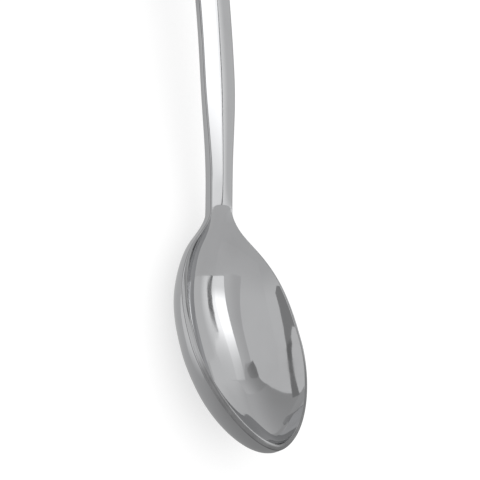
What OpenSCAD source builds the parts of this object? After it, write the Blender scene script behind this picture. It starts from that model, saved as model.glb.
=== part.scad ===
// Table spoon, struck from one piece of steel and drawn here in four zones that meet face to face.
// The spoon lies on a table with its hollow up: X runs from the bowl's tip to the handle's end,
// Z is up, and the origin is on the table, in the middle of the spoon.
// Every section square to the length is worked out by the same few formulas, so that the zones fit.

/* [Bowl] */
// Length from the tip of the bowl to where its two shoulders would meet
bowl_l = 66.6; // [56:0.1:80]
// Width of the bowl at its widest
bowl_w = 44; // [36:0.5:54]
// Depth of the bowl outside, from its edge line to its underside
bowl_depth = 11.5; // [9:0.1:15]
// Thickness of the metal at the bottom of the bowl
wall = 1.3; // [0.9:0.05:2]
// Width of the rim round the hollow
rim_w = 1.5; // [0.9:0.05:2.2]
// How much the rim leans outwards: the rise from its outer corner to its inner corner
rim_lean = 0.85; // [0.3:0.05:1.3]
// Height of the rim's upright outer edge
rim_edge = 0.5; // [0.3:0.05:1]
// How far the middle of the rim dips below its two ends, seen from the side
rim_dip = 0.65; // [0:0.05:1.5]

/* [Neck] */
// Width of the neck at its narrowest
neck_w = 8.7; // [6.5:0.1:11]
// Height of the neck's upright sides
neck_edge = 2; // [1.2:0.1:3]
// Size of the soft corner where each shoulder runs into the neck
shoulder_blend = 5; // [2:0.1:8]
// Angle at which the neck climbs away from the rim
neck_rise = 21.5; // [12:0.5:28]
// Radius of the crown across the top of the neck
neck_crown_r = 24; // [16:1:60]

/* [Handle] */
// Length of the whole spoon along its edge line
spoon_l = 200; // [185:1:230]
// Width of the stem
stem_w = 12.3; // [9:0.1:15]
// Width of the handle's end at its widest
end_w = 19; // [14:0.5:24]
// Length of the rounded outline at the handle's end
end_round = 13; // [8:0.5:18]
// Height of the stem's upright sides
stem_edge = 1.45; // [1:0.05:2.2]
// Radius of the crown across the top of the stem
crown_r = 40; // [30:1:90]
// How far the rounded underside stands below the upright sides
belly = 0.45; // [0.2:0.05:0.9]
// Width of the softened corner along the top
corner_w = 0.45; // [0.25:0.05:0.8]
// Height of the softened corner along the top
corner_h = 0.2; // [0.1:0.05:0.5]
// Radius of the long arch of the stem, seen from the side
arch_r = 385; // [250:5:800]
// Angle by which the last part of the handle bends down to the table
end_bend = 12; // [4:0.5:18]

/* [Hidden] */

// Where the zones meet, measured from the tip
handle_l = spoon_l - bowl_l;
bowl_past = 4.4;
neck_l = 17;
end_share = 0.565;
neck_from = bowl_l + bowl_past;
stem_from = neck_from + neck_l;
end_from = bowl_l + end_share * handle_l;

// Shape of the bowl's outline
widest_share = 0.456;
widest_x = widest_share * bowl_l;
tip_power = 1.7;
tip_fullness = 1.72;
shoulder_power = 2.76;
shoulder_fullness = 0.9;

// Shape of the bowl's underside along its length and across its width
heel_past = 2.2;
depth_end = bowl_l + heel_past;
deepest_share = 0.286;
deepest_x = deepest_share * bowl_l;
front_power = 1.73;
front_fullness = 0.394;
heel_power = 4.17;
heel_fullness = 1.7;
dish_power = 3.1;
dish_fullness = 0.56;

// Shape of the hollow, which slopes more gently than the underside, so that the metal is thicker in front
hollow_deepest_share = 0.35;
hollow_deepest_x = hollow_deepest_share * bowl_l;
hollow_front_power = 1.7;
hollow_front_fullness = 0.7;
hollow_heel_fullness = 2;
hollow_dish_power = 3;

// The stem swells out from the neck, and the handle's end swells out from the stem
stem_swell_past = 3.8;
stem_swell_from = bowl_l + stem_swell_past;
stem_swell_l = 35;
end_swell_from_share = 0.37;
end_swell_l_share = 0.54;
end_swell_from = bowl_l + end_swell_from_share * handle_l;
end_swell_l = end_swell_l_share * handle_l;
end_power = 2.3;

// The neck bends up out of the rim, and the handle's end bends down
rise_back = 10.8;
rise_from = bowl_l - rise_back;
rise_l = 8.8;
rise_to = rise_from + rise_l;
bend_from_share = 0.415;
bend_l_share = 0.345;
bend_from = bowl_l + bend_from_share * handle_l;
bend_l = bend_l_share * handle_l;

// Where the rim's lean, the crown and the upright sides change from the bowl's to the handle's
rim_fade_share = 0.68;
rim_fade_from = rim_fade_share * bowl_l;
rim_fade_l = 20;
crown_back = 4.6;
crown_from = bowl_l - crown_back;
crown_l = 15.4;
edge_share = 0.72;
edge_from = edge_share * bowl_l;
edge_l = bowl_l - edge_from;
stem_edge_l = 40;
belly_blend = 2;

// How far the two ends are cut back to a small flat, and how deep the metal is worn flat
// where it rests on the table
blunt = 0.05;
rest_wear = 0.05;

// Fineness: points across the width and rings along each zone
cuts = 24;
bowl_rings = 48;
neck_rings = 9;
stem_rings = 13;
end_rings = 26;
lean_steps = 12;

// Least width of the top within the spoon's width, for the stretch of rim ahead of the hollow
least_top_share = 0.4;

// A smooth step from 0 to 1, and the area under it
function step(u) = let (v = min(1, max(0, u))) v ^ 3 * (10 + v * (6 * v - 15));
function step_area(u) = let (v = min(1, max(0, u))) v ^ 4 * (2.5 + v * (v - 3)) + max(0, u - 1);
function mix(a, b, share) = a + (b - a) * share;

// The larger of two lengths, with the corner between them rounded over size k
function soft_max(a, b, k) = max(a, b) + max(0, k - abs(a - b)) ^ 2 / (4 * k);

// A leaf outline: 0 at x0, its full size at xm and 0 again at x1
function leaf(x, x0, xm, x1, size, p0, f0, p1, f1) =
    x < xm
        ? size * (1 - min(1, (xm - x) / (xm - x0)) ^ p0) ^ f0
        : size * (1 - min(1, (x - xm) / (x1 - xm)) ^ p1) ^ f1;

// Half the width of the bowl alone, drawn in by a margin for the hollow
function bowl_half(x, margin) =
    leaf(x, margin, widest_x, bowl_l, bowl_w / 2 - margin,
         tip_power, 1 / tip_fullness, shoulder_power, shoulder_fullness);

// Half the width of the handle alone, with its rounded end
function handle_half(x) =
    mix(mix(neck_w, stem_w, step((x - stem_swell_from) / stem_swell_l)), end_w,
        step((x - end_swell_from) / end_swell_l)) / 2
    * (1 - max(0, min(1, (x - spoon_l + end_round) / end_round)) ^ end_power) ^ (1 / end_power);

// Half the width of the spoon, and of the hollow or the crowned top within it
function half_width(x) =
    x < widest_x ? bowl_half(x, 0)
                 : soft_max(bowl_half(x, 0), handle_half(x), shoulder_blend);
function top_half(x) =
    max(least_top_share * half_width(x),
        x < widest_x ? bowl_half(x, rim_w)
                     : soft_max(bowl_half(x, rim_w), handle_half(x) - corner_w, shoulder_blend));

// Height of the edge line, with the rim as level ground
function edge_z(x) =
    let (v = min(1, abs(2 * x / bowl_l - 1)))
    tan(neck_rise) * rise_l * step_area((x - rise_from) / rise_l)
    - max(0, x - rise_to) ^ 2 / (2 * arch_r)
    - tan(end_bend) * bend_l * step_area((x - bend_from) / bend_l)
    - rim_dip * (1 - v ^ 2) ^ 2;

// Height of the upright outer edge, and the metal below it
function edge_h(x) =
    mix(rim_edge, mix(neck_edge, stem_edge, step((x - bowl_l) / stem_edge_l)),
        step((x - edge_from) / edge_l));
function drop(x) =
    let (bowl = leaf(x, 0, deepest_x, depth_end, bowl_depth - rim_edge,
                     front_power, front_fullness, heel_power, heel_fullness))
    x < deepest_x ? bowl : soft_max(bowl, belly, belly_blend);

// Height of the top's border above the edge line, at t across the width, and of the crown above it
function border_h(x, t) =
    let (grown = min(1, x / rim_w))
    grown * (1 - (1 - grown) * t ^ 2) * mix(rim_lean, corner_h, step((x - rim_fade_from) / rim_fade_l));
function crown_radius(x) = mix(neck_crown_r, crown_r, step((x - stem_swell_from) / stem_swell_l));
function crown_h(x) = step((x - crown_from) / crown_l) * top_half(x) ^ 2 / (2 * crown_radius(x));

// Depth of the hollow below the top's border
function hollow_drop(x) =
    leaf(x, rim_w, hollow_deepest_x, depth_end, bowl_depth - wall + border_h(x, 0),
         hollow_front_power, hollow_front_fullness, heel_power, hollow_heel_fullness);

// How much of the full depth is left at t, which runs from -1 to 1 across the width
function dish(t) = max(0, 1 - abs(t) ^ dish_power) ^ dish_fullness;
function hollow_dish(t) = max(0, 1 - abs(t) ^ hollow_dish_power);
function across(i) = sin(90 * (2 * i / cuts - 1));

// One section: the underside from left to right, then the top from right to left
function under_z(x, t) = edge_z(x) - edge_h(x) - drop(x) * dish(t);
function top_z(x, t) =
    edge_z(x) + border_h(x, t) + crown_h(x) * (1 - t ^ 2) - hollow_drop(x) * hollow_dish(t);
function section(x) = [
    for (i = [cuts:-1:0]) [x, half_width(x) * across(i), under_z(x, across(i))],
    [x, -half_width(x), edge_z(x)],
    for (i = [0:cuts]) [x, top_half(x) * across(i), top_z(x, across(i))],
    [x, half_width(x), edge_z(x)]
];

// Places of the rings along each zone, closer together at the tip, at the neck and at the end
function spread(from, to, n) = [for (i = [0:n]) from + (to - from) * (1 - cos(180 * i / n)) / 2];
function evenly(from, to, n) = [for (i = [0:n]) from + (to - from) * i / n];
function towards_end(from, to, n) = [for (i = [0:n]) from + (to - from) * sin(90 * i / n)];
bowl_at = spread(blunt, neck_from, bowl_rings);
neck_at = evenly(neck_from, stem_from, neck_rings);
stem_at = evenly(stem_from, end_from, stem_rings);
end_at = towards_end(end_from, spoon_l - blunt, end_rings);

// The spoon leans until the bowl and the handle's end reach the same table
function lowest(at, lean) = min([for (x = at) under_z(x, 0) * cos(lean) - x * sin(lean)]);
function lean_after(n) =
    n == 0 ? 0
    : let (lean = lean_after(n - 1))
      lean + asin((lowest(end_at, lean) - lowest(bowl_at, lean)) / spoon_l);
lean = lean_after(lean_steps);
raise = -lowest(bowl_at, lean) - rest_wear;
function leaned(p) = [p.x * cos(lean) + p.z * sin(lean), p.y, p.z * cos(lean) - p.x * sin(lean) + raise];
function reach(at) = [for (x = at) for (p = section(x)) leaned(p).x];
middle = (min(reach(bowl_at)) + max(reach(end_at))) / 2;
function on_table(p) = let (q = leaned(p)) [q.x - middle, q.y, max(0, q.z)];

// A closed solid through the sections at the given places
module zone(at) {
    rings = [for (x = at) section(x)];
    n = len(rings[0]);
    last = len(rings) - 1;
    points = [for (ring = rings) for (p = ring) on_table(p)];
    sides = [
        for (r = [0:last - 1]) for (i = [0:n - 1])
            let (a = r * n + i, b = r * n + (i + 1) % n)
            each [[a, b, a + n], [b, b + n, a + n]]
    ];
    front = [for (i = [n - 1:-1:0]) i];
    back = [for (i = [0:n - 1]) last * n + i];
    polyhedron(points = points, faces = concat([front], sides, [back]), convexity = 6);
}

module bowl() color("gainsboro") zone(bowl_at);
module neck() color("lightgray") zone(neck_at);
module stem() color("silver") zone(stem_at);
module handle_end() color("darkgray") zone(end_at);

bowl();
neck();
stem();
handle_end();
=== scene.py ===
import math

import bmesh
import bpy
from mathutils import Matrix, Vector


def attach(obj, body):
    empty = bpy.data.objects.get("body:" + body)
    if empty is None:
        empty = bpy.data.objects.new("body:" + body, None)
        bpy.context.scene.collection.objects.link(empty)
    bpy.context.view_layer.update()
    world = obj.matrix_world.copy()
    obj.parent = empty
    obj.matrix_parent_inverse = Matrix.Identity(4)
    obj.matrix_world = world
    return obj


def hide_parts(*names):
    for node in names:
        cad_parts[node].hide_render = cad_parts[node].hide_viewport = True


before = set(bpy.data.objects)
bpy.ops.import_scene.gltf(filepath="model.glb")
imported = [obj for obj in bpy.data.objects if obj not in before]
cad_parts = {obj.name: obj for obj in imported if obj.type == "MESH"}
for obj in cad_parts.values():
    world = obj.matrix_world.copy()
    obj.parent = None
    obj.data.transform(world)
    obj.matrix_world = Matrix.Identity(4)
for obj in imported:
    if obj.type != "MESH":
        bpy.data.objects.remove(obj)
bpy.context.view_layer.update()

# A table spoon struck from one piece of steel, drawn in four zones that meet face to face.
# It is drawn in millimetres, with x from the tip of the bowl towards the handle and z from the
# level of the rim, and is then laid on the table in metres.
MM = 0.001

# Bowl
BOWL_L = 66.6
BOWL_W = 44.0
BOWL_DEPTH = 11.5
WALL = 1.3
RIM_W = 1.5
RIM_LEAN = 0.85
RIM_EDGE = 0.5
RIM_DIP = 0.65

# Neck
NECK_W = 8.7
NECK_EDGE = 2.0
SHOULDER_BLEND = 5.0
NECK_RISE = math.radians(21.5)

# Handle
SPOON_L = 200.0
STEM_W = 12.3
END_W = 19.0
END_ROUND = 13.0
STEM_EDGE = 1.45
CROWN_R = 40.0
NECK_CROWN_R = 24.0
BELLY = 0.45
CORNER_W = 0.45
CORNER_H = 0.2
ARCH_R = 385.0
END_BEND = math.radians(12.0)

# Where the zones meet
HANDLE_L = SPOON_L - BOWL_L
NECK_FROM = BOWL_L + 4.4
STEM_FROM = NECK_FROM + 17.0
END_FROM = BOWL_L + 0.565 * HANDLE_L
ROUND_FROM = SPOON_L - END_ROUND

# Outline of the bowl, and how the depth of its underside runs along and across it
WIDEST_X = 0.456 * BOWL_L
TIP_POWER = 1.7
TIP_FULLNESS = 1.72
SHOULDER_POWER = 2.76
SHOULDER_FULLNESS = 0.9
DEEPEST_X = 0.286 * BOWL_L
DEPTH_END = BOWL_L + 2.2
FRONT_POWER = 1.73
FRONT_FULLNESS = 0.394
HEEL_POWER = 4.17
HEEL_FULLNESS = 1.7
DISH_POWER = 3.1
DISH_FULLNESS = 0.56
BELLY_BLEND = 2.0

# The same for the hollow, which slopes more gently than the underside
HOLLOW_DEEPEST_X = 0.35 * BOWL_L
HOLLOW_FRONT_POWER = 1.7
HOLLOW_FRONT_FULLNESS = 0.7
HOLLOW_HEEL_FULLNESS = 2.0
HOLLOW_DISH_POWER = 3.0

# Swells of the stem and of the handle's end, and the bends of the edge line
STEM_SWELL_FROM = BOWL_L + 3.8
STEM_SWELL_L = 35.0
END_SWELL_FROM = BOWL_L + 0.37 * HANDLE_L
END_SWELL_L = 0.54 * HANDLE_L
END_POWER = 2.3
RISE_FROM = BOWL_L - 10.8
RISE_L = 8.8
RISE_TO = RISE_FROM + RISE_L
BEND_FROM = BOWL_L + 0.415 * HANDLE_L
BEND_L = 0.345 * HANDLE_L

# Where the rim's lean, the crown and the upright sides change from the bowl's to the handle's
RIM_FADE_FROM = 0.68 * BOWL_L
RIM_FADE_L = 20.0
CROWN_FROM = BOWL_L - 4.6
CROWN_L = 15.4
EDGE_FROM = 0.72 * BOWL_L
EDGE_L = BOWL_L - EDGE_FROM
STEM_EDGE_L = 40.0

# How the spoon lies: its lean, and how far it is raised and moved to the middle of its length
LEAN = math.radians(10.3038)
RAISE = 18.6237
MIDDLE = 99.9824

# Softness of the polished corners, the most of a face that one of them takes, the share of the
# rim's fall that is even and not round, and the two ends of the line that the columns start from
CORNER_R = 0.22
INNER_CORNER_R = 0.4
CORNER_SHARE = 0.45
RIM_EVEN_SHARE = 0.15
SPINE_FRONT = 10.0
SPINE_END = SPOON_L - 6.0

# Fineness: rows from the middle of the top, over the side, to the middle below
TOP_ROWS = 44
CORNER_ROWS = 5
RIM_ROWS = 10
UPRIGHT_ROWS = 2
UNDER_ROWS = 40

# Fineness: columns along the zones, round the tip of the bowl and round the handle's end, and how
# far past a zone's ends its ghost columns stand
BOWL_COLUMNS = 110
TIP_COLUMNS = 110
NECK_COLUMNS = 44
STEM_COLUMNS = 100
END_COLUMNS = 80
ROUND_COLUMNS = 60
GHOST = 0.4

# Half the width of the grid that each zone is bent from, the shortest length to divide by, and,
# in metres, how close two points are one and how short an edge is left out
GRID_HALF = 0.5
TINY = 1e-9
SAME_POINT = 1e-6
NO_EDGE = 1e-7

# Colours of the steel where it is clean and smudged, and the colour of its painted shade, and its
# roughness where it is clean
CLEAN_COLOR = (0.618, 0.622, 0.632, 1.0)
SMUDGED_COLOR = (0.585, 0.588, 0.596, 1.0)
PAINTED_SHADE_COLOR = (0.13, 0.13, 0.132, 1.0)
CLEAN_ROUGHNESS = 0.035

# Polishing marks: the scale and stretch of their lines and of the waves in the surface, the scale
# of the patches where the lines are strong, how rough the lines are, how high they are against
# the waves, and the height of the waves in metres
LINE_SCALE = 4200.0
LINE_STRETCH = (0.12, 1.0, 1.0)
WAVE_SCALE = 60.0
WAVE_STRETCH = (0.5, 1.0, 1.0)
PATCH_SCALE = 90.0
LINE_ROUGHNESS = 0.02
LINE_H = 0.004
WAVE_H = 0.00002

# Smudges: their scale, where in the noise they begin and are full, and how rough they are
SMUDGE_SCALE = 55.0
SMUDGE_FROM = 0.48
SMUDGE_FULL = 0.74
SMUDGE_ROUGHNESS = 0.05

# Painted shade along the corners and the front of the rim: the scale of its unevenness, how strong it
# is at least, how much more it is where it is strongest, and how rough it is
SHADE_SCALE = 260.0
SHADE_LEAST = 0.65
SHADE_MORE = 0.5
SHADE_ROUGHNESS = 0.12


def step(u):
    """A smooth step from 0 to 1, with level ends."""
    v = min(1.0, max(0.0, u))
    return v ** 3 * (10 + v * (6 * v - 15))


def step_area(u):
    """The area under the smooth step up to u, for a slope that sets in gently."""
    v = min(1.0, max(0.0, u))
    return v ** 4 * (2.5 + v * (v - 3)) + max(0.0, u - 1)


def mix(a, b, share):
    return a + (b - a) * share


def soft_max(a, b, size):
    """The larger of two values, with a round blend where they are close."""
    return max(a, b) + max(0.0, size - abs(a - b)) ** 2 / (4 * size)


def leaf(x, x0, xm, x1, size, p0, f0, p1, f1):
    """A leaf outline: 0 at x0, its full size at xm and 0 again at x1. In each half, a higher p
    keeps it full for longer, and a lower f makes its end blunter."""
    if x < xm:
        return size * (1 - min(1.0, (xm - x) / (xm - x0)) ** p0) ** f0
    return size * (1 - min(1.0, (x - xm) / (x1 - xm)) ** p1) ** f1


def bowl_half(x, margin):
    """Half the width of the bowl alone, less a margin at its tip and sides."""
    return leaf(x, margin, WIDEST_X, BOWL_L, BOWL_W / 2 - margin,
                TIP_POWER, 1 / TIP_FULLNESS, SHOULDER_POWER, SHOULDER_FULLNESS)


def end_fall(x, margin):
    """Share of the width that is left at x in the rounded outline at the handle's end."""
    u = min(1.0, max(0.0, (x - ROUND_FROM) / (END_ROUND - margin)))
    return (1 - u ** END_POWER) ** (1 / END_POWER)


def handle_half(x, margin):
    """Half the width of the handle alone, less a margin at its sides and end."""
    stem = mix(NECK_W, STEM_W, step((x - STEM_SWELL_FROM) / STEM_SWELL_L))
    full = mix(stem, END_W, step((x - END_SWELL_FROM) / END_SWELL_L)) / 2
    return (full - margin) * end_fall(x, margin)


def half_width(x):
    """Half the width of the whole outline."""
    if x < WIDEST_X:
        return bowl_half(x, 0.0)
    return soft_max(bowl_half(x, 0.0), handle_half(x, 0.0), SHOULDER_BLEND)


def top_half(x):
    """Half the width of the hollow or of the handle's crown."""
    if x < WIDEST_X:
        return bowl_half(x, RIM_W)
    return soft_max(bowl_half(x, RIM_W), handle_half(x, CORNER_W), SHOULDER_BLEND)


def edge_z(x):
    """Height of the edge line, with the rim as level ground."""
    v = min(1.0, abs(2 * x / BOWL_L - 1))
    rise = math.tan(NECK_RISE) * RISE_L * step_area((x - RISE_FROM) / RISE_L)
    arch = max(0.0, x - RISE_TO) ** 2 / (2 * ARCH_R)
    bend = math.tan(END_BEND) * BEND_L * step_area((x - BEND_FROM) / BEND_L)
    return rise - arch - bend - RIM_DIP * (1 - v ** 2) ** 2


def edge_h(x):
    """Height of the upright side."""
    handle = mix(NECK_EDGE, STEM_EDGE, step((x - BOWL_L) / STEM_EDGE_L))
    return mix(RIM_EDGE, handle, step((x - EDGE_FROM) / EDGE_L))


def border_h(x):
    """Height of the border of the hollow or of the crown above the edge line."""
    return mix(RIM_LEAN, CORNER_H, step((x - RIM_FADE_FROM) / RIM_FADE_L))


def drop(x):
    """Depth of the underside below the upright side."""
    bowl = leaf(x, 0.0, DEEPEST_X, DEPTH_END, BOWL_DEPTH - RIM_EDGE,
                FRONT_POWER, FRONT_FULLNESS, HEEL_POWER, HEEL_FULLNESS)
    if x < DEEPEST_X:
        return bowl
    return soft_max(bowl, BELLY, BELLY_BLEND)


def hollow_drop(x):
    """Depth of the hollow below the inner corner of the rim."""
    return leaf(x, RIM_W, HOLLOW_DEEPEST_X, DEPTH_END, BOWL_DEPTH - WALL + border_h(x),
                HOLLOW_FRONT_POWER, HOLLOW_FRONT_FULLNESS, HEEL_POWER, HOLLOW_HEEL_FULLNESS)


def top_point(x, y):
    """A point of the hollow or of the crowned handle, over a place of the plan."""
    half = top_half(x)
    t = min(1.0, abs(y) / half) if half > 0 else 1.0
    crown_r = mix(NECK_CROWN_R, CROWN_R, step((x - STEM_SWELL_FROM) / STEM_SWELL_L))
    crown = step((x - CROWN_FROM) / CROWN_L) * half ** 2 / (2 * crown_r) * (1 - t ** 2)
    hollow = hollow_drop(x) * max(0.0, 1 - t ** HOLLOW_DISH_POWER)
    return Vector((x, y, edge_z(x) + border_h(x) + crown - hollow))


def under_point(x, y, across):
    """A point of the underside, over a place of the plan."""
    half = half_width(x)
    t = across
    if x < ROUND_FROM:
        t = min(1.0, abs(y) / half) if half > 0 else 1.0
    dish = max(0.0, 1 - t ** DISH_POWER) ** DISH_FULLNESS
    return Vector((x, y, edge_z(x) - edge_h(x) - drop(x) * dish))


def front_column(u):
    """Where a column stands in the front of the bowl: its spine, inner corner and outer corner."""
    fall = (1 - u ** TIP_POWER) ** (1 / TIP_FULLNESS)
    spine = (WIDEST_X - (WIDEST_X - SPINE_FRONT) * u, 0.0)
    inner = (WIDEST_X - (WIDEST_X - RIM_W) * u, (BOWL_W / 2 - RIM_W) * fall)
    outer = (WIDEST_X * (1 - u), BOWL_W / 2 * fall)
    return spine, inner, outer


def straight_column(x):
    """Where a column stands that runs straight across the spoon."""
    return (x, 0.0), (x, top_half(x)), (x, half_width(x))


def end_column(u):
    """Where a column stands in the rounded end of the handle."""
    fall = (1 - u ** END_POWER) ** (1 / END_POWER)
    spine = (ROUND_FROM + (SPINE_END - ROUND_FROM) * u, 0.0)
    inner = (ROUND_FROM + (END_ROUND - CORNER_W) * u, (END_W / 2 - CORNER_W) * fall)
    outer = (ROUND_FROM + END_ROUND * u, END_W / 2 * fall)
    return spine, inner, outer


def between(a, b, share):
    """A place of the plan between two others."""
    return (mix(a[0], b[0], share), mix(a[1], b[1], share))


def corner_curve(start, corner, end, share):
    """A point of the soft curve that cuts a corner."""
    return start.lerp(corner, share).lerp(corner.lerp(end, share), share)


def towards(start, end, distance):
    """A point at a distance from the start, and never as far as halfway to the end."""
    way = end - start
    return start + way * min(CORNER_SHARE, distance / max(way.length, TINY))


def rim_face(inner_corner, outer_corner, share):
    """A point of the rim's face, which starts nearly level and rounds over to its outer corner."""
    fall = mix(1 - math.sqrt(max(0.0, 1 - share ** 2)), share, RIM_EVEN_SHARE)
    point = inner_corner.lerp(outer_corner, share)
    return Vector((point.x, point.y, mix(inner_corner.z, outer_corner.z, fall)))


# Rows that run along the two corners of the rim, and how strongly painted shade darkens the steel on and
# beside them
INNER_CORNER_ROW = TOP_ROWS - 2 + (CORNER_ROWS + 1) // 2
OUTER_CORNER_ROW = TOP_ROWS - 2 + CORNER_ROWS + RIM_ROWS + (CORNER_ROWS + 1) // 2
ROW_SHADE = {INNER_CORNER_ROW - 1: 0.5, INNER_CORNER_ROW: 1.0, INNER_CORNER_ROW + 1: 0.8,
            OUTER_CORNER_ROW: 0.7, OUTER_CORNER_ROW + 1: 0.7}

# Painted shade on the rim's face at the front of the bowl, which dims its bright reflection there: the
# rows that are darkened, how strongly, and the distances from the tip where it is full and where it ends
RIM_SHADE_ROWS = range(INNER_CORNER_ROW + 1, OUTER_CORNER_ROW + 2)
RIM_SHADE = 0.72
RIM_SHADE_FULL = 20.0
RIM_SHADE_END = 29.0


def painted_shade_at(row, x):
    """How strongly painted shade darkens a point, from its row and its distance from the tip."""
    rim_shade = RIM_SHADE * step((RIM_SHADE_END - x) / (RIM_SHADE_END - RIM_SHADE_FULL)) if row in RIM_SHADE_ROWS else 0.0
    return max(ROW_SHADE.get(row, 0.0), rim_shade)


def eased(count):
    """Shares from 0 to 1, which crowd towards 1 as the heights in a quarter turn do."""
    return [math.sin(math.pi / 2 * i / count) for i in range(count + 1)]


def column_points(column):
    """The points of one column, from the middle of the top, over the side, to the middle below."""
    spine, inner, outer = column
    top = [top_point(*between(spine, inner, s)) for s in eased(TOP_ROWS)[:-2]]
    under = [under_point(*between(spine, outer, s), s) for s in eased(UNDER_ROWS)[:-1]]
    inner_corner = Vector((*inner, edge_z(inner[0]) + border_h(inner[0])))
    outer_corner = Vector((*outer, edge_z(outer[0])))
    lower_corner = Vector((*outer, edge_z(outer[0]) - edge_h(outer[0])))
    face_l = max((outer_corner - inner_corner).length, TINY)
    share_in = min(CORNER_SHARE, INNER_CORNER_R / face_l)
    share_out = 1 - min(CORNER_SHARE, CORNER_R / face_l)
    rim_in = rim_face(inner_corner, outer_corner, share_in)
    rim_out = rim_face(inner_corner, outer_corner, share_out)
    side_up = towards(outer_corner, lower_corner, CORNER_R)
    side_down = towards(lower_corner, outer_corner, CORNER_R)
    corner_shares = [(i + 1) / CORNER_ROWS for i in range(CORNER_ROWS)]
    rim_shares = [mix(share_in, share_out, t) for t in eased(RIM_ROWS)[1:]]
    points = list(top)
    points += [corner_curve(top[-1], inner_corner, rim_in, s) for s in corner_shares]
    points += [rim_face(inner_corner, outer_corner, s) for s in rim_shares]
    points += [corner_curve(rim_out, outer_corner, side_up, s) for s in corner_shares]
    points += [side_up.lerp(side_down, (i + 1) / UPRIGHT_ROWS) for i in range(UPRIGHT_ROWS)]
    points += [corner_curve(side_down, lower_corner, under[-1], s) for s in corner_shares]
    points += under[-2::-1]
    return points


def on_table(point):
    """Leans the spoon back until the bowl and the handle's end lie on the table, in metres."""
    x = point.x * math.cos(LEAN) + point.z * math.sin(LEAN) - MIDDLE
    z = point.z * math.cos(LEAN) - point.x * math.sin(LEAN) + RAISE
    return Vector((x, point.y, max(0.0, z))) * MM


def half_zone(columns, ghosts):
    """Half a zone, bent from a grid, with its ghost columns and its painted shade marked."""
    bm = bmesh.new()
    ghost_layer = bm.verts.layers.int.new("ghost")
    painted_shade_layer = bm.verts.layers.float.new("painted_shade")
    placed = [[on_table(p) for p in column_points(c)] for c in columns]
    last_column = len(columns) - 1
    last_row = len(placed[0]) - 1
    made = bmesh.ops.create_grid(bm, x_segments=last_column, y_segments=last_row, size=GRID_HALF)
    for vert in made["verts"]:
        i = round((vert.co.x + GRID_HALF) * last_column)
        j = round((vert.co.y + GRID_HALF) * last_row)
        vert.co = placed[i][j]
        vert[ghost_layer] = i < ghosts[0] or i > last_column - ghosts[1]
        outer = columns[i][-1]
        # Painted shade: dark lines along the corners, and a darkened rim at the front of the bowl
        vert[painted_shade_layer] = painted_shade_at(j, outer[0])
    return bm


def add_other_half(bm):
    """Mirrors the half, joins the two along the middle and turns the faces outwards."""
    geom = bm.verts[:] + bm.edges[:] + bm.faces[:]
    bmesh.ops.mirror(bm, geom=geom, axis="Y", merge_dist=0.0)
    bmesh.ops.remove_doubles(bm, verts=bm.verts[:], dist=SAME_POINT)
    bmesh.ops.dissolve_degenerate(bm, edges=bm.edges[:], dist=NO_EDGE)
    bmesh.ops.recalc_face_normals(bm, faces=bm.faces[:])


def cut_ghosts(bm):
    """Takes the ghost columns off, closes the zone's ends, and gives the normals from before."""
    ghost_layer = bm.verts.layers.int["ghost"]
    bm.normal_update()
    kept = {v: v.normal.copy() for v in bm.verts if not v[ghost_layer]}
    bmesh.ops.delete(bm, geom=[v for v in bm.verts if v[ghost_layer]], context="VERTS")
    open_edges = [e for e in bm.edges if e.is_boundary]
    bmesh.ops.holes_fill(bm, edges=open_edges, sides=0)
    normals = [kept[v] for v in bm.verts]
    bm.verts.layers.int.remove(ghost_layer)
    return normals


def steel_zone(name, node, columns, ghosts):
    """One zone of the spoon. The ghosts are the numbers of columns past its two ends, which only
    set its borders' normals, so that the shine runs on from zone to zone."""
    bm = half_zone(columns, ghosts)
    add_other_half(bm)
    normals = cut_ghosts(bm)
    mesh = bpy.data.meshes.new(name)
    bm.to_mesh(mesh)
    bm.free()
    mesh.shade_smooth()
    mesh.normals_split_custom_set_from_vertices(normals)
    piece = bpy.data.objects.new(name, mesh)
    bpy.context.scene.collection.objects.link(piece)
    mesh.materials.append(steel)
    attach(piece, "root")
    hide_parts(node)


def effect_group(name, inputs, outputs):
    """A node group with its own inputs and outputs, and the nodes at its two ends."""
    group = bpy.data.node_groups.new(name, "ShaderNodeTree")
    for label, kind, value in inputs:
        socket = group.interface.new_socket(label, in_out="INPUT", socket_type=kind)
        if value is not None:
            socket.default_value = value
    for label, kind in outputs:
        group.interface.new_socket(label, in_out="OUTPUT", socket_type=kind)
    return group, group.nodes.new("NodeGroupInput"), group.nodes.new("NodeGroupOutput")


def math_node(tree, operation, *values):
    """Works on values, each of which is a number or the output of a node."""
    node = tree.nodes.new("ShaderNodeMath")
    node.operation = operation
    for i, value in enumerate(values):
        if isinstance(value, (int, float)):
            node.inputs[i].default_value = value
        else:
            tree.links.new(value, node.inputs[i])
    return node.outputs["Value"]


def vector_node(tree, operation, place, vector):
    """Works on a place and a fixed vector."""
    node = tree.nodes.new("ShaderNodeVectorMath")
    node.operation = operation
    node.inputs[1].default_value = vector
    tree.links.new(place, node.inputs[0])
    return node


def noise(tree, place, scale, detail):
    node = tree.nodes.new("ShaderNodeTexNoise")
    node.inputs["Scale"].default_value = scale
    node.inputs["Detail"].default_value = detail
    tree.links.new(place, node.inputs["Vector"])
    return node.outputs["Fac"]


def stretched(tree, place, stretch):
    """The place, squeezed so that a pattern on it runs along the spoon."""
    return vector_node(tree, "MULTIPLY", place, stretch).outputs["Vector"]


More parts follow.
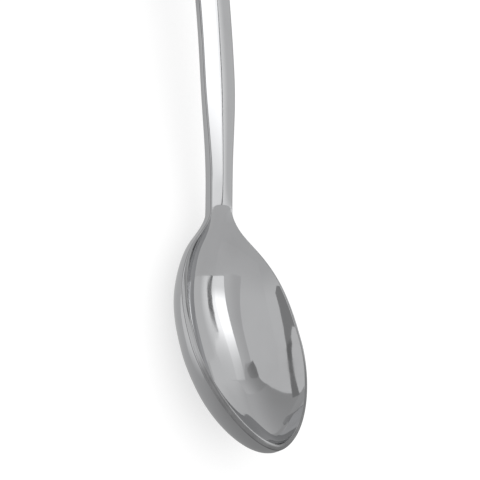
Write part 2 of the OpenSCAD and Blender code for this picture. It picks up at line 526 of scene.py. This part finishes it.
def polishing_marks():
    """Fine lengthwise lines of polishing, and a slow waviness of the surface."""
    group, start, end = effect_group(
        "polishing_marks",
        [("Place", "NodeSocketVector", None), ("Lines", "NodeSocketFloat", LINE_ROUGHNESS)],
        [("Roughness", "NodeSocketFloat"), ("Height", "NodeSocketFloat")])
    place = start.outputs["Place"]
    lines = noise(group, stretched(group, place, LINE_STRETCH), LINE_SCALE, detail=2.0)
    patches = noise(group, place, PATCH_SCALE, detail=2.0)
    waves = noise(group, stretched(group, place, WAVE_STRETCH), WAVE_SCALE, detail=1.0)
    strength = math_node(group, "MULTIPLY", patches, start.outputs["Lines"])
    group.links.new(math_node(group, "MULTIPLY", lines, strength), end.inputs["Roughness"])
    fine = math_node(group, "MULTIPLY", lines, LINE_H)
    group.links.new(math_node(group, "ADD", waves, fine), end.inputs["Height"])
    return group


def smudges():
    """Faint marks of handling, which dull the polish in soft patches."""
    group, start, end = effect_group(
        "smudges",
        [("Place", "NodeSocketVector", None), ("Dulling", "NodeSocketFloat", SMUDGE_ROUGHNESS)],
        [("Amount", "NodeSocketFloat"), ("Roughness", "NodeSocketFloat")])
    cloud = noise(group, start.outputs["Place"], SMUDGE_SCALE, detail=4.0)
    cut = group.nodes.new("ShaderNodeMapRange")
    cut.interpolation_type = "SMOOTHSTEP"
    cut.inputs["From Min"].default_value = SMUDGE_FROM
    cut.inputs["From Max"].default_value = SMUDGE_FULL
    group.links.new(cloud, cut.inputs["Value"])
    amount = cut.outputs["Result"]
    group.links.new(amount, end.inputs["Amount"])
    dulled = math_node(group, "MULTIPLY", amount, start.outputs["Dulling"])
    group.links.new(dulled, end.inputs["Roughness"])
    return group


def painted_edge_shade():
    """Painted shade along the rim and its corners, where the steel is darker and a little rougher."""
    group, start, end = effect_group(
        "painted_edge_shade",
        [("Place", "NodeSocketVector", None), ("Color", "NodeSocketColor", None),
         ("Shade Color", "NodeSocketColor", None)],
        [("Color", "NodeSocketColor"), ("Roughness", "NodeSocketFloat")])
    # The painted shade, as marked on the mesh
    painted_shade = group.nodes.new("ShaderNodeAttribute")
    painted_shade.attribute_name = "painted_shade"
    cloud = noise(group, start.outputs["Place"], SHADE_SCALE, detail=3.0)
    uneven = math_node(group, "MULTIPLY_ADD", cloud, SHADE_MORE, SHADE_LEAST)
    shaded = math_node(group, "MULTIPLY", painted_shade.outputs["Fac"], uneven)
    blend = group.nodes.new("ShaderNodeMix")
    blend.data_type = "RGBA"
    blend.clamp_factor = True
    group.links.new(shaded, blend.inputs["Factor"])
    group.links.new(start.outputs["Color"], blend.inputs["A"])
    group.links.new(start.outputs["Shade Color"], blend.inputs["B"])
    group.links.new(blend.outputs["Result"], end.inputs["Color"])
    group.links.new(math_node(group, "MULTIPLY", shaded, SHADE_ROUGHNESS), end.inputs["Roughness"])
    return group


def use_group(tree, group, place):
    """Places an effect in a material."""
    node = tree.nodes.new("ShaderNodeGroup")
    node.node_tree = group
    tree.links.new(place, node.inputs["Place"])
    return node


def polished_steel():
    """Mirror-polished steel with polishing marks, smudges, and painted shade along its corners."""
    material = bpy.data.materials.new("polished_steel")
    material.use_nodes = True
    tree = material.node_tree
    shader = tree.nodes["Principled BSDF"]
    shader.inputs["Metallic"].default_value = 1.0
    place = tree.nodes.new("ShaderNodeTexCoord").outputs["Object"]
    marks = use_group(tree, polishing_marks(), place)
    smudge = use_group(tree, smudges(), place)
    corners = use_group(tree, painted_edge_shade(), place)
    tint = tree.nodes.new("ShaderNodeMix")
    tint.data_type = "RGBA"
    tint.inputs["A"].default_value = CLEAN_COLOR
    tint.inputs["B"].default_value = SMUDGED_COLOR
    tree.links.new(smudge.outputs["Amount"], tint.inputs["Factor"])
    tree.links.new(tint.outputs["Result"], corners.inputs["Color"])
    # The colour of the painted shade
    corners.inputs["Shade Color"].default_value = PAINTED_SHADE_COLOR
    tree.links.new(corners.outputs["Color"], shader.inputs["Base Color"])
    dull = math_node(tree, "ADD", smudge.outputs["Roughness"], marks.outputs["Roughness"])
    shaded = math_node(tree, "ADD", dull, corners.outputs["Roughness"])
    tree.links.new(math_node(tree, "ADD", shaded, CLEAN_ROUGHNESS), shader.inputs["Roughness"])
    bump = tree.nodes.new("ShaderNodeBump")
    bump.inputs["Distance"].default_value = WAVE_H
    tree.links.new(marks.outputs["Height"], bump.inputs["Height"])
    tree.links.new(bump.outputs["Normal"], shader.inputs["Normal"])
    return material


def spread(start, end, count):
    """Even steps from the start to the end, with both of them."""
    return [mix(start, end, i / count) for i in range(count + 1)]


def add_bowl():
    straight_at = [NECK_FROM + GHOST] + spread(NECK_FROM, WIDEST_X, BOWL_COLUMNS)
    columns = [straight_column(x) for x in straight_at]
    columns += [front_column(u) for u in eased(TIP_COLUMNS)[1:]]
    steel_zone("polished_bowl", "bowl", columns, (1, 0))


def add_neck():
    straight_at = [NECK_FROM - GHOST] + spread(NECK_FROM, STEM_FROM, NECK_COLUMNS) + [STEM_FROM + GHOST]
    steel_zone("polished_neck", "neck", [straight_column(x) for x in straight_at], (1, 1))


def add_stem():
    straight_at = [STEM_FROM - GHOST] + spread(STEM_FROM, END_FROM, STEM_COLUMNS) + [END_FROM + GHOST]
    steel_zone("polished_stem", "stem", [straight_column(x) for x in straight_at], (1, 1))


def add_handle_end():
    straight_at = [END_FROM - GHOST] + spread(END_FROM, ROUND_FROM, END_COLUMNS)
    columns = [straight_column(x) for x in straight_at]
    columns += [end_column(u) for u in eased(ROUND_COLUMNS)[1:]]
    steel_zone("polished_handle_end", "handle_end", columns, (1, 0))


# The camera: its place in metres, the way it looks, what is up in its picture, and its lens
CAMERA_AT = Vector((-0.14036, 0.51424, 0.47052))
CAMERA_LOOK = Vector((0.1411, -0.7408, -0.6568))
CAMERA_UP = Vector((0.9819, 0.0201, 0.1882))
CAMERA_LENS = 193.67
SENSOR_W = 36.0


def add_camera():
    data = bpy.data.cameras.new("camera")
    data.lens = CAMERA_LENS
    data.sensor_width = SENSOR_W
    camera = bpy.data.objects.new("camera", data)
    bpy.context.scene.collection.objects.link(camera)
    back = -CAMERA_LOOK.normalized()
    right = CAMERA_UP.cross(back).normalized()
    up = back.cross(right)
    camera.matrix_world = Matrix.Translation(CAMERA_AT) @ Matrix((right, up, back)).transposed().to_4x4()
    bpy.context.scene.camera = camera


# The studio round the spoon, in metres: the height of its square tent, which is also half the
# tent's width, the level of the grey table, half the width and the level of what is round the
# table, and half the width of the floor. Only the steel's reflections see the tent and the table.
ROOM = 1.2
TABLE_Z = -0.0005
TABLE_EDGE = 3.6
TABLE_EDGE_Z = -0.00075
FLOOR_HALF = 3.0

# The table's cards: where they end, both beyond the bowl's tip and on the far side, the seam
# between the bowl's card and the handle's, the seam to the card towards the camera, and the corner
# of the bright streak
TABLE_REACH = -0.6
TABLE_SEAM_X = 0.02
TABLE_SEAM_Y = 0.06
STREAK_X = -0.088
STREAK_Y = 0.027

# The lamp on the far side: its edge on the ceiling, the x from and to which it is brightest, how
# low it comes on the wall at these two, and its brightest level on the ceiling and on the wall
LAMP_EDGE = -0.70
LAMP_FROM = 0.06
LAMP_TO = 0.3
LAMP_LOW = 1.12
LAMP_LOW_END = 1.075
LAMP_LEVEL = 264
WALL_LAMP_LEVEL = 246

# White, the floor's grey, and the glow that brings the floor to white
WHITE = (1, 1, 1, 1)
FLOOR_COLOR = (0.5, 0.5, 0.5, 1)
FLOOR_GLOW = 0.6

# The share of the light that the steel gives back
STEEL_LIGHT = 0.62

# How much nearer the middle than its wall a sheet lies, as a share of its distance, so that it
# covers what is behind it
LIFT_PATCH = 0.003
LIFT_SIDE = 0.005
LIFT_GLOW = 0.006
LIFT_DARK = 0.008
LIFT_DARKER = 0.009
LIFT_LAMP = 0.010
LIFT_LINE = 0.012


def linear(level):
    """A grey of the screen, where 255 is white, as light."""
    share = level / 255
    return share / 12.92 if share < 0.04045 else ((share + 0.055) / 1.055) ** 2.4


def light_sheet(name, corners, levels, along=None, lift=0.0):
    """A flat sheet of the studio, which only reflections see. Its levels are the greys that the
    steel shows where it mirrors the sheet. Two levels run along a line, from point to point."""
    bm = bmesh.new()
    bm.faces.new([bm.verts.new(Vector(corner) * (1 - lift)) for corner in corners])
    mesh = bpy.data.meshes.new(name)
    bm.to_mesh(mesh)
    bm.free()
    sheet = bpy.data.objects.new(name, mesh)
    bpy.context.scene.collection.objects.link(sheet)
    mesh.materials.append(sheet_light(name, levels, along))
    sheet.visible_camera = False
    sheet.visible_diffuse = False
    sheet.visible_shadow = False
    sheet.visible_transmission = False


def sheet_light(name, levels, along):
    """The light of a sheet: one level all over, or a smooth change between two points."""
    material = bpy.data.materials.new(name)
    material.use_nodes = True
    tree = material.node_tree
    tree.nodes.clear()
    output = tree.nodes.new("ShaderNodeOutputMaterial")
    glow = tree.nodes.new("ShaderNodeEmission")
    tree.links.new(glow.outputs["Emission"], output.inputs["Surface"])
    strengths = [linear(level) / STEEL_LIGHT for level in levels]
    glow.inputs["Strength"].default_value = strengths[0]
    if along is not None:
        tree.links.new(blend_along(tree, strengths, *along), glow.inputs["Strength"])
    return material


def blend_along(tree, strengths, start, end):
    """A strength that changes smoothly from the first to the second, from one point to another."""
    way = Vector(end) - Vector(start)
    place = tree.nodes.new("ShaderNodeTexCoord").outputs["Object"]
    moved = vector_node(tree, "SUBTRACT", place, start).outputs["Vector"]
    share = vector_node(tree, "DOT_PRODUCT", moved, way / way.length_squared).outputs["Value"]
    blend = tree.nodes.new("ShaderNodeMapRange")
    blend.interpolation_type = "SMOOTHSTEP"
    blend.inputs["To Min"].default_value = strengths[0]
    blend.inputs["To Max"].default_value = strengths[1]
    tree.links.new(share, blend.inputs["Value"])
    return blend.outputs["Result"]


def rectangle(x0, y0, x1, y1):
    """The corners of a rectangle, from two that lie opposite each other."""
    return (x0, y0), (x1, y0), (x1, y1), (x0, y1)


def ceiling(*places):
    """Corners on the ceiling, from their x and y."""
    return [(x, y, ROOM) for x, y in places]


def front_wall(*places):
    """Corners on the wall on the -Y side, from their x and z."""
    return [(x, -ROOM, z) for x, z in places]


def back_wall(*places):
    """Corners on the wall on the +Y side, from their x and z."""
    return [(x, ROOM, z) for x, z in places]


def right_wall(*places):
    """Corners on the wall on the +X side, from their y and z."""
    return [(ROOM, y, z) for y, z in places]


def left_wall(*places):
    """Corners on the wall on the -X side, from their y and z."""
    return [(-ROOM, y, z) for y, z in places]


def table(*places):
    """Corners on the grey table, from their x and y."""
    return [(x, y, TABLE_Z) for x, y in places]


def add_tent():
    """The pale walls and ceiling."""
    side = rectangle(-ROOM, 0, ROOM, ROOM)
    light_sheet("tent_top",
                ceiling(*rectangle(-ROOM, -ROOM, ROOM, ROOM)),
                (160, 165), ((-ROOM, 0, 0), (-0.4, 0, 0)))
    light_sheet("tent_front", front_wall(*side), (158, 162), ((-ROOM, 0, 0), (-0.4, 0, 0)))
    light_sheet("tent_front_right",
                front_wall(*rectangle(0.35, 0, ROOM, ROOM)),
                (178, 157), ((0.45, 0, 0), (ROOM, 0, 0)), LIFT_PATCH)
    light_sheet("tent_right", right_wall(*side), (174,))
    light_sheet("tent_back", back_wall(*side), (158, 175), ((-1.0, 0, 0), (-0.1, 0, 0)))
    light_sheet("tent_left", left_wall(*side), (158,))


def add_table():
    """The grey table, which the steel mirrors in place of the floor, dark beyond the bowl's tip and
    paler towards the camera. Its darker grey next to the spoon on the camera's side is painted shadow of
    the spoon.
    """
    light_sheet("table_near",
                table((TABLE_REACH, TABLE_REACH), (TABLE_SEAM_X, TABLE_REACH),
                      (TABLE_SEAM_X, STREAK_Y), (STREAK_X, STREAK_Y),
                      (STREAK_X, TABLE_SEAM_Y), (TABLE_REACH, TABLE_SEAM_Y)),
                (124, 160), ((-0.12, 0, 0), (-0.05, 0, 0)))
    light_sheet("table_streak",
                table(*rectangle(STREAK_X, STREAK_Y, TABLE_SEAM_X, TABLE_SEAM_Y)),
                (142, 186), ((STREAK_X, 0.028, 0), (-0.072, 0.042, 0)))
    light_sheet("table_right",
                table(*rectangle(TABLE_SEAM_X, TABLE_REACH, 0.9, TABLE_SEAM_Y)),
                (160, 136), ((TABLE_SEAM_X, 0, 0), (0.045, 0, 0)))
    # Painted shadow of the spoon: darkest next to it, paler towards the camera
    light_sheet("table_far",
                table(*rectangle(-0.3, TABLE_SEAM_Y, 0.03, 0.5)),
                (140, 200), ((0, TABLE_SEAM_Y, 0), (0, 0.11, 0)))
    wide = rectangle(-TABLE_EDGE, -TABLE_EDGE, TABLE_EDGE, TABLE_EDGE)
    light_sheet("table_edge", [(x, y, TABLE_EDGE_Z) for x, y in wide], (138,))


def add_lights():
    """The lamp on the far side, its dark lower edge, its glow, and the pale part of the ceiling."""
    light_sheet("lamp_left",
                ceiling((-0.37, LAMP_EDGE), (LAMP_FROM, LAMP_EDGE), (LAMP_FROM, -ROOM), (-0.35, -ROOM)),
                (210, LAMP_LEVEL), ((-0.22, 0, 0), (LAMP_FROM, 0, 0)), LIFT_LAMP)
    light_sheet("lamp_middle",
                ceiling(*rectangle(LAMP_FROM, LAMP_EDGE, LAMP_TO, -ROOM)),
                (LAMP_LEVEL,), None, LIFT_LAMP)
    light_sheet("lamp_right",
                ceiling((LAMP_TO, LAMP_EDGE), (0.58, LAMP_EDGE), (0.65, -ROOM), (LAMP_TO, -ROOM)),
                (LAMP_LEVEL, 166), ((0.336, -0.95, 0), (0.6, -0.912, 0)), LIFT_LAMP)
    light_sheet("lamp_front_left",
                front_wall((-0.35, ROOM), (LAMP_FROM, ROOM), (LAMP_FROM, LAMP_LOW), (-0.33, LAMP_LOW)),
                (208, WALL_LAMP_LEVEL), ((-0.22, 0, 0), (LAMP_FROM, 0, 0)), LIFT_LAMP)
    light_sheet("lamp_front",
                front_wall((LAMP_FROM, ROOM), (LAMP_TO, ROOM), (LAMP_TO, LAMP_LOW_END), (0.2, 1.10),
                           (LAMP_FROM, LAMP_LOW)),
                (WALL_LAMP_LEVEL,), None, LIFT_LAMP)
    light_sheet("lamp_front_right",
                front_wall((LAMP_TO, ROOM), (0.64, ROOM), (0.57, 1.05), (0.50, 0.96), (0.44, 0.93),
                           (0.40, 1.03), (LAMP_TO, LAMP_LOW_END)),
                (WALL_LAMP_LEVEL, 168), ((0.37, 0, ROOM), (0.594, 0, 1.11)), LIFT_LAMP)
    light_sheet("lamp_line",
                front_wall((-0.33, LAMP_LOW), (0.0, 1.13), (0.2, 1.105), (0.38, 1.05), (0.38, 1.03),
                           (0.2, 1.072), (0.0, 1.096), (-0.33, 1.086)),
                (96, 150), ((0.1, 0, 0), (0.4, 0, 0)), LIFT_LINE)
    light_sheet("lamp_glow",
                front_wall((-0.33, LAMP_LOW), (0.0, 1.125), (0.2, 1.10), (0.42, 1.05), (0.43, 0.85),
                           (0.36, 0.6), (0.28, 0.3), (-0.1, 0.3), (-0.2, 0.5), (-0.25, 0.75)),
                (205, 171), ((0, 0, 1.12), (0, 0, 0.82)), LIFT_GLOW)
    light_sheet("lamp_side",
                ceiling((-0.5, 0.22), (0.0, -0.02), (0.3, -0.15), (0.5, -0.2), (0.5, -0.72),
                        (-0.4, -0.72)),
                (157, 169), ((0.15, -0.12, 0), (0.0, -0.68, 0)), LIFT_SIDE)
    light_sheet("pale_ceiling",
                ceiling((-0.9, 0.35), (-0.42, 0.2), (0.0, -0.02), (0.3, -0.15), (0.5, -0.2),
                        (ROOM, 0.2), (ROOM, ROOM), (-0.9, ROOM)),
                (162, 173), ((-0.85, 0, 0), (0.0, 0, 0)), LIFT_GLOW)


def add_dark_side():
    """The darker surroundings past the handle's end, and the dark strip along the back wall."""
    light_sheet("dark_side",
                ceiling((0.5, -0.1), (0.56, 0.0), (0.64, 0.07), (0.82, 0.14), (1.0, 0.25),
                        (ROOM, 0.42), (ROOM, -ROOM), (0.62, -ROOM), (0.5, -0.5)),
                (128, 165), ((0.7, 0.1, 0), (1.0, -1.1, 0)), LIFT_DARK)
    light_sheet("dark_wedge",
                ceiling((0.5, -0.1), (0.56, 0.0), (0.64, 0.07), (0.62, -0.15), (0.52, -0.5)),
                (108, 130), ((0.5, -0.2, 0), (0.64, -0.25, 0)), LIFT_DARKER)
    light_sheet("dark_right",
                right_wall((-ROOM, 0), (-ROOM, ROOM), (0.42, ROOM), (0.5, 0.95), (0.56, 0.8),
                           (0.62, 0.6), (0.65, 0.45), (0.7, 0.25), (0.74, 0)),
                (158, 132), ((0, -ROOM, 0), (0, 0.6, 0)), LIFT_DARK)
    light_sheet("back_strip",
                back_wall((-0.45, 0.74), (-0.3, 0.81), (0.0, 0.79), (0.3, 0.79), (0.42, 0.82),
                          (0.36, 0.66), (0.25, 0.58), (0.25, 0.5), (-0.4, 0.5)),
                (117,), None, LIFT_DARK)
    light_sheet("back_strip_dark",
                back_wall((0.36, 0.66), (0.42, 0.82), (0.6, 0.82), (0.8, 0.78), (1.0, 0.7),
                          (ROOM, 0.6), (ROOM, 0.43), (1.05, 0.5), (0.9, 0.58), (0.75, 0.63),
                          (0.6, 0.66)),
                (97,), None, LIFT_DARK)
    light_sheet("right_strip",
                right_wall((ROOM, 0.6), (ROOM, 0.43), (0.7, 0.0), (0.62, 0.12)),
                (106,), None, LIFT_DARKER)


def add_floor():
    """The pale floor that the camera sees. The steel doesn't mirror it, but the table under it."""
    bm = bmesh.new()
    bmesh.ops.create_grid(bm, x_segments=1, y_segments=1, size=FLOOR_HALF)
    mesh = bpy.data.meshes.new("floor")
    bm.to_mesh(mesh)
    bm.free()
    floor = bpy.data.objects.new("floor", mesh)
    bpy.context.scene.collection.objects.link(floor)
    material = bpy.data.materials.new("floor")
    material.use_nodes = True
    shader = material.node_tree.nodes["Principled BSDF"]
    shader.inputs["Base Color"].default_value = FLOOR_COLOR
    shader.inputs["Specular IOR Level"].default_value = 0.0
    shader.inputs["Roughness"].default_value = 1.0
    shader.inputs["Emission Color"].default_value = WHITE
    shader.inputs["Emission Strength"].default_value = FLOOR_GLOW
    mesh.materials.append(material)
    floor.visible_glossy = False


def add_world():
    world = bpy.data.worlds.new("world")
    bpy.context.scene.world = world
    world.use_nodes = True
    world.node_tree.nodes["Background"].inputs["Color"].default_value = WHITE


steel = polished_steel()
add_bowl()
add_neck()
add_stem()
add_handle_end()
add_camera()
add_floor()
add_tent()
add_table()
add_lights()
add_dark_side()
add_world()
bpy.context.scene.view_settings.view_transform = "Standard"
